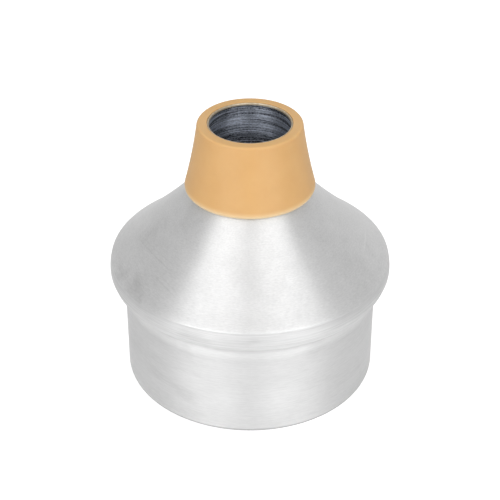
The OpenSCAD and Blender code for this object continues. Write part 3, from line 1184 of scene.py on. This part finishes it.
# %% [markdown]
# ## Paint that glows
#
# The mute stands on plain white that runs into a white background. A board lit
# so hard would also throw its light up at the mute. So the board is different
# to different rays: one that looks at it sees a glow, and one that carries
# light from it to the mute meets plain matt paint. Blender's Light Path node
# tells them apart.

# %% What looks, and what it sees
def seen_directly(tree):
    """1 for a ray from the camera, off a glossy surface or through a clear one, else 0."""
    path = add(tree, "LightPath")
    seen = add(tree, "Math", {
        0: path.outputs["Is Camera Ray"], 1: path.outputs["Is Glossy Ray"],
    }, operation="MAXIMUM")
    return add(tree, "Math", {0: seen, 1: path.outputs["Is Transmission Ray"]}, operation="MAXIMUM")


def glowing_paint(tree, glow, paint):
    """A grey paint that also glows white."""
    light = add(tree, "Emission", {"Color": linear("#ffffff"), "Strength": glow})
    coat = add(tree, "BsdfDiffuse", {"Color": (paint, paint, paint, 1)})
    return add(tree, "AddShader", {0: light, 1: coat})


print("plain paint gives back", round(linear("#e8e8e8")[0], 2), "of the light")

# %% [markdown]
# ## The floor
#
# The floor is a pale matt board. Most of what the camera sees of it is glow,
# so it meets the background without an edge, and the rest is paint, which
# keeps the mute's soft shadow. What the metal mirrors of it glows less, or the
# foot of the mute would look washed out. From below the board is clear, so
# that the end face can be looked at. It lies a hair below the standing ring,
# because two faces at one height would flicker.

# %% A lit white board
FLOOR_HALF = 3.0
FLOOR_DROP = 0.02
FLOOR_GLOW, FLOOR_PAINT = 0.75, 0.45
MIRROR_GLOW, MIRROR_PAINT = 0.12, 0.65
SQUARE = [(-1, -1), (1, -1), (1, 1), (-1, 1)]

board, tree = new_material("matt_white_board")
plain = add(tree, "BsdfDiffuse", {"Color": linear("#e8e8e8")})
mirrored = add(tree, "MixShader", {
    "Fac": seen_directly(tree), 1: plain, 2: glowing_paint(tree, MIRROR_GLOW, MIRROR_PAINT),
})
mixed = add(tree, "MixShader", {
    "Fac": add(tree, "LightPath").outputs["Is Camera Ray"],
    1: mirrored, 2: glowing_paint(tree, FLOOR_GLOW, FLOOR_PAINT),
})
one_way = add(tree, "MixShader", {
    "Fac": add(tree, "NewGeometry").outputs["Backfacing"],
    1: mixed, 2: add(tree, "BsdfTransparent"),
})
add(tree, "OutputMaterial", {"Surface": one_way})

floor_mesh = bpy.data.meshes.new("floor")
floor_mesh.from_pydata([(x * FLOOR_HALF, y * FLOOR_HALF, 0) for x, y in SQUARE], [], [(0, 1, 2, 3)])
floor_mesh.materials.append(board)
floor = bpy.data.objects.new("floor", floor_mesh)
floor.location.z = -FLOOR_DROP * MM
scene.collection.objects.link(floor)
print("the floor is", 2 * FLOOR_HALF, "m wide")

# %% [markdown]
# ## The white background
#
# The world does two jobs. Seen directly or mirrored, it is plain white. On the
# mute it is the weak even light that a white room adds to the lamps, so the
# light that it gives is less than what it shows.

# %% World
WORLD_FILL = 0.77
world = bpy.data.worlds.new("white_studio")
scene.world = world
world.use_nodes = True
tree = world.node_tree
tree.nodes.clear()
strength = add(tree, "MapRange", {
    "Value": seen_directly(tree), "To Min": WORLD_FILL, "To Max": 1.0,
})
background = add(tree, "Background", {"Color": linear("#ffffff"), "Strength": strength})
add(tree, "OutputWorld", {"Surface": background})
print("the world lights the mute at", WORLD_FILL)

# %% [markdown]
# ## What the metal mirrors
#
# Metal shows its surroundings, so the studio is chosen for what the mute will
# mirror. Besides the lamps it has curved boards round the mute. They shine by
# themselves and show only as reflections, so they shape the metal without
# changing the light on the foam or the floor.

# %% Props that only show in reflections
def facing_mute(thing, azimuth, elevation, away):
    """Puts a thing round the mute, azimuth 0 on the camera's side, and turns it to face it."""
    flat, up = polar(elevation)
    thing.location = (away * polar(azimuth)[1] * flat, -away * polar(azimuth)[0] * flat, away * up)
    thing.rotation_euler = (math.radians(90 - elevation), 0, math.radians(azimuth))


def shining(name, level):
    """A material that shines evenly white."""
    material, tree = new_material(name)
    even = add(tree, "Emission", {"Color": linear("#ffffff"), "Strength": level})
    add(tree, "OutputMaterial", {"Surface": even})
    return material


def hidden_prop(name, corners, faces, material):
    """A part of the studio that shows only as a reflection."""
    mesh = bpy.data.meshes.new(name)
    mesh.from_pydata(corners, [], faces)
    mesh.materials.append(material)
    prop = bpy.data.objects.new(name, mesh)
    prop.visible_camera = False
    prop.visible_diffuse = False
    scene.collection.objects.link(prop)
    print(name, "is in place")
    return prop


black_cloth, tree = new_material("black_cloth")
add(tree, "OutputMaterial", {"Surface": add(tree, "BsdfDiffuse", {"Color": linear("#101010")})})

# %% [markdown]
# ## A curved board
#
# A flat board can't reach round the mute without leaving a gap at its ends, and
# the metal would show the white world through it. So the boards stand on a
# circle round the mute, in flat strips of about 5 degrees, fine enough for a
# satin surface to blur into one.

# %% The corners of a curved board
BOARD_STEP = 5


def wall(side, start, end, top, away):
    """Corners and faces of an upright curved wall on one side, between two azimuths."""
    head = away * math.tan(math.radians(top))
    steps = math.ceil((end - start) / BOARD_STEP)
    corners, faces = [], []
    for i in range(steps + 1):
        level, way = polar(start + (end - start) * i / steps)
        corners += [(side * away * way, -away * level, z) for z in (0.0, head)]
        if i:
            faces.append((2 * i - 2, 2 * i - 1, 2 * i + 1, 2 * i))
    return corners, faces


print("a wall over 90 degrees has", len(wall(1, 0, 90, 45, 1.0)[1]), "strips")

# %% [markdown]
# ## Lamps and boards
#
# Two tall soft boxes stand left and right of the camera, with a gap between
# them. They give the two bright bands on the cone and the dip in its middle.
# In Blender a ray passes on through a lamp's surface, so black cloth behind
# each box, as on a real one, keeps the white world from adding to it. From the
# outer edge of each box a pale board runs round to the back, and gives the
# flank its calm grey. The right box is a little narrower and weaker, and a low
# card brightens what the mute mirrors behind it at the right.

# %% Two soft boxes, two boards and a card
BOX_AWAY = 0.9
BOX_FROM = 12.0
BOX_TO = {"left": 58.0, "right": 57.5}
BOX_TOP = 60.0
BOX_LEVEL = {"left": 2.25, "right": 2.16}
BACK_GAP = 0.01
BOARD_AWAY = 1.3
BOARD_TO = 160
BOARD_LEVEL = {"left": 0.76, "right": 0.80}
CARD_FROM, CARD_TOP, CARD_LEVEL = 125, 25, 0.95
CARD_GAP = 0.02

for side, mark in (("left", -1), ("right", 1)):
    azimuth = mark * (BOX_FROM + BOX_TO[side]) / 2
    wide = 2 * BOX_AWAY * math.tan(math.radians(BOX_TO[side] - BOX_FROM) / 2)
    tall = 2 * BOX_AWAY * math.tan(math.radians(BOX_TOP) / 2)
    light = bpy.data.lights.new(f"soft_box_{side}", "AREA")
    light.shape = "RECTANGLE"
    light.size, light.size_y = wide, tall
    light.energy = BOX_LEVEL[side] * math.pi * wide * tall
    lamp = bpy.data.objects.new(light.name, light)
    lamp.visible_camera = False
    scene.collection.objects.link(lamp)
    facing_mute(lamp, azimuth, BOX_TOP / 2, BOX_AWAY)
    corners = [(x * wide / 2, y * tall / 2, 0) for x, y in SQUARE]
    back = hidden_prop(f"box_back_{side}", corners, [(0, 1, 2, 3)], black_cloth)
    facing_mute(back, azimuth, BOX_TOP / 2, BOX_AWAY + BACK_GAP)
    print(f"{light.name} gives {light.energy:.2f} W over {wide:.2f} x {tall:.2f} m")
    lit = shining(f"lit_board_{side}", BOARD_LEVEL[side])
    hidden_prop(f"board_{side}", *wall(mark, BOX_TO[side], BOARD_TO, BOX_TOP, BOARD_AWAY), lit)

card_wall = wall(1, CARD_FROM, BOARD_TO, CARD_TOP, BOARD_AWAY - CARD_GAP)
hidden_prop("low_card_right", *card_wall, shining("lit_card", CARD_LEVEL))

# %% [markdown]
# ## The camera
#
# The photo was taken from about half a metre away and 33.6 degrees above the
# table, with a long lens. The outline of the mute in the photo gave these.

# %% Camera
ELEVATION = 33.61
AWAY = 512.4 * MM
AIM_Z = 46.8 * MM
SENSOR = 36.0
FOCAL_PX = 1432.6
FRAME_PX = 500

camera = bpy.data.cameras.new("camera")
camera.sensor_width = SENSOR
camera.lens = FOCAL_PX * SENSOR / FRAME_PX
camera_object = bpy.data.objects.new("camera", camera)
level, up = polar(ELEVATION)
camera_object.location = (0, -AWAY * level, AIM_Z + AWAY * up)
camera_object.rotation_euler = (math.radians(90 - ELEVATION), 0, 0)
scene.collection.objects.link(camera_object)
scene.camera = camera_object
scene.view_settings.view_transform = "Standard"
print("lens", round(camera.lens, 1), "mm")
